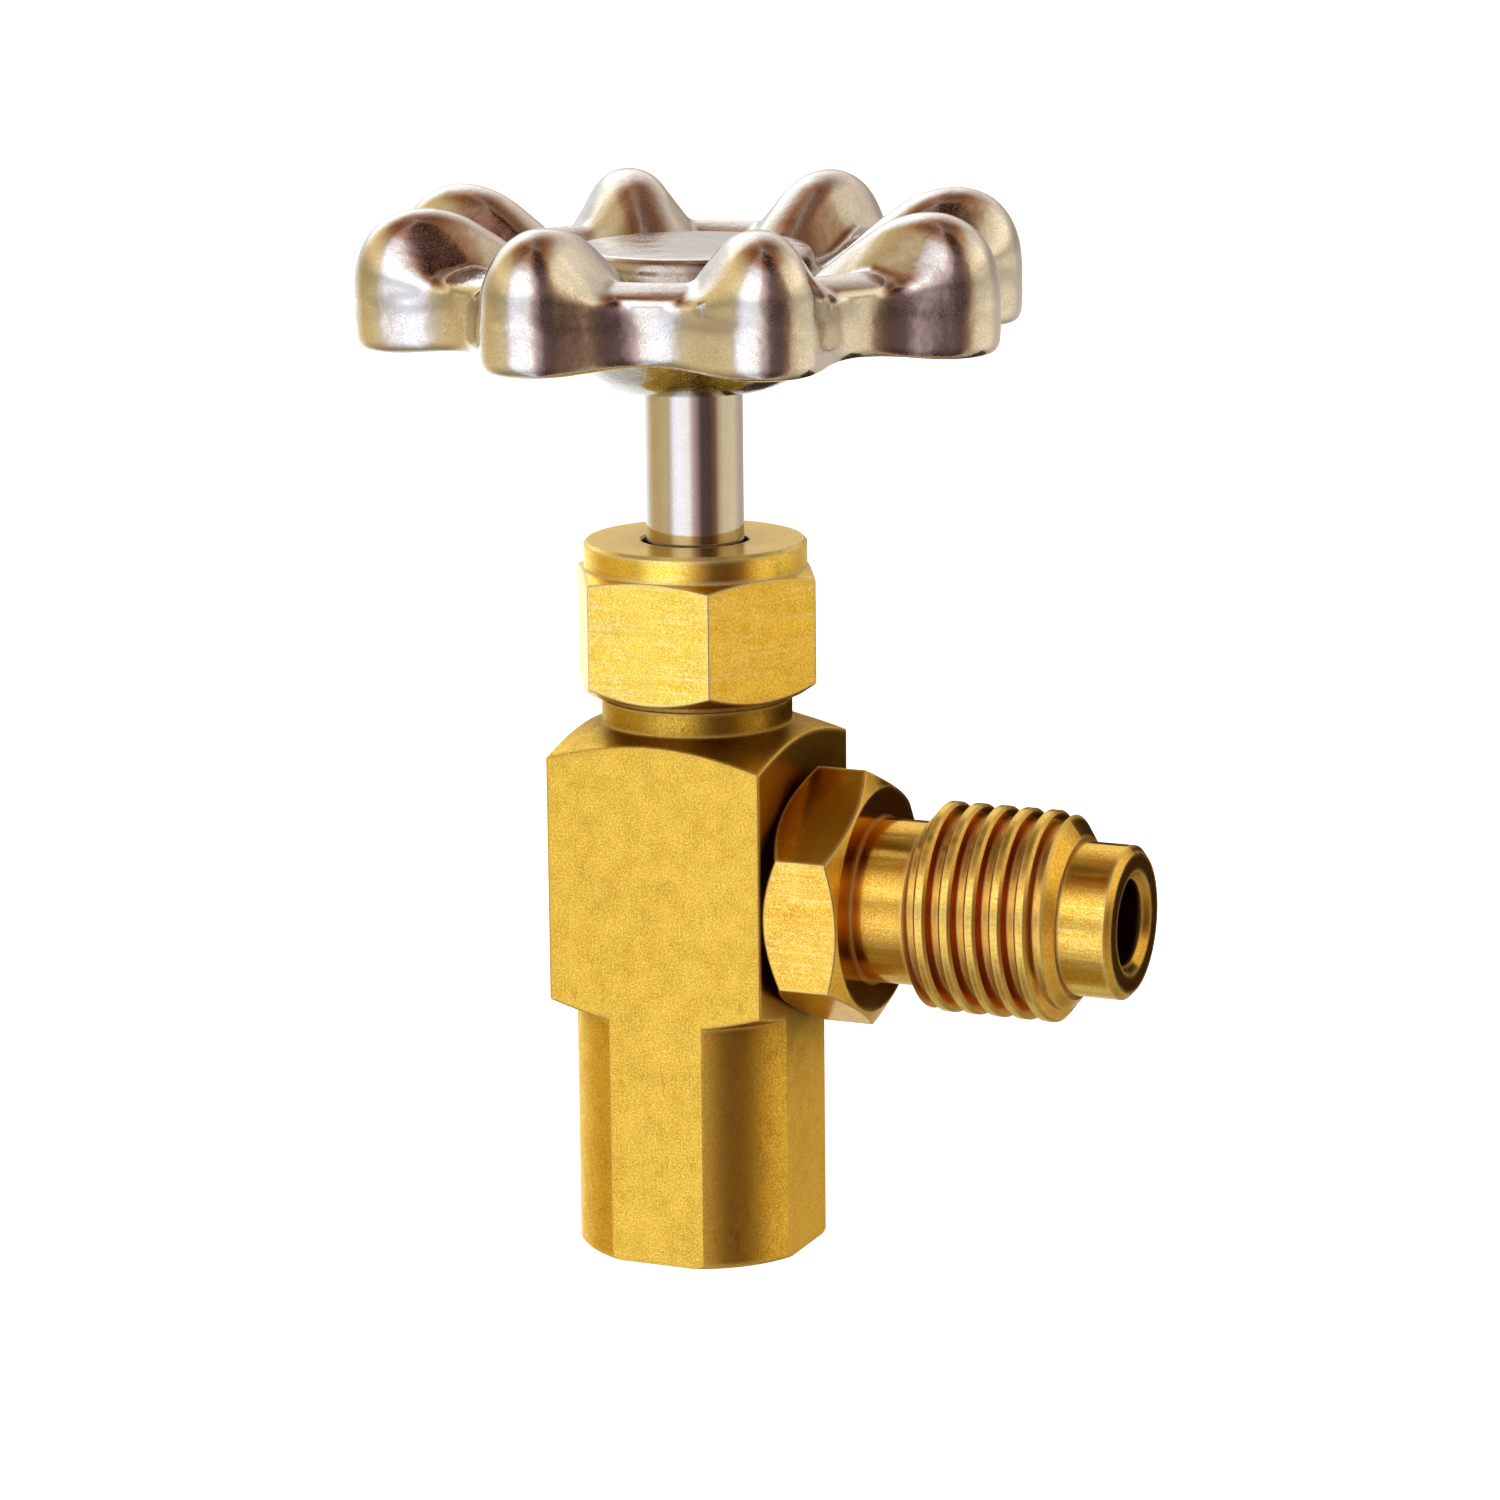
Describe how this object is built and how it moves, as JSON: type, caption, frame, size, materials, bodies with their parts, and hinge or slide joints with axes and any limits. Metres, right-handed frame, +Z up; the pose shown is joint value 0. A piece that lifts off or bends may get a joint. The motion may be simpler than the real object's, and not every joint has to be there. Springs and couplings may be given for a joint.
{
  "type": "needle valve",
  "caption": "Angle-pattern brass needle valve: square body with threaded inlet socket, side hose connector, packing nut and lobed handwheel on a rising stem.",
  "frame": {"origin": "on the stem axis, in the plane of the body's bottom face, where the inlet socket opens", "axes": "+Z up along the stem towards the handwheel, +X along the outlet connector away from the body"},
  "size_m": [0.0488, 0.0412, 0.0648],
  "materials": {
    "body_brass": "satin, milled and turned",
    "connector_brass": "bright turned",
    "nut_brass": "bright turned and milled",
    "wheel_chrome": "plated rough casting",
    "stem_plating": "nickel plated, turned",
    "needle_steel": "ground",
    "seal_rubber": "matt",
    "packing_ptfe": "moulded"
  },
  "bodies": {
    "valve": {"valve_body": "body_brass", "outlet_connector": "connector_brass", "outlet_o_ring": "seal_rubber", "packing_nut": "nut_brass", "gland_follower": "nut_brass", "packing_washer": "nut_brass", "packing_ring_lower": "packing_ptfe", "packing_ring_middle": "packing_ptfe", "packing_ring_upper": "packing_ptfe", "inlet_gasket": "seal_rubber"},
    "needle_group": {"needle": "needle_steel"},
    "spindle": {"stem": "stem_plating", "needle_retainer": "nut_brass", "thrust_ball": "needle_steel", "handwheel": "wheel_chrome"}
  },
  "joints": [
    {"name": "needle_lift", "type": "slide", "parent": "valve", "child": "needle_group", "axis": [0, 0, 1], "range_m": [-0.00542, 0.00067]},
    {"name": "stem_turn", "type": "hinge", "parent": "needle_group", "child": "spindle", "pos_m": [0, 0, 0], "axis": [0, 0, 1], "range_deg": [-1950, 240]}
  ],
  "couplings": [
    {"joint": "needle_lift", "follows": "stem_turn", "m_per_rad": 0.00015915}
  ]
}
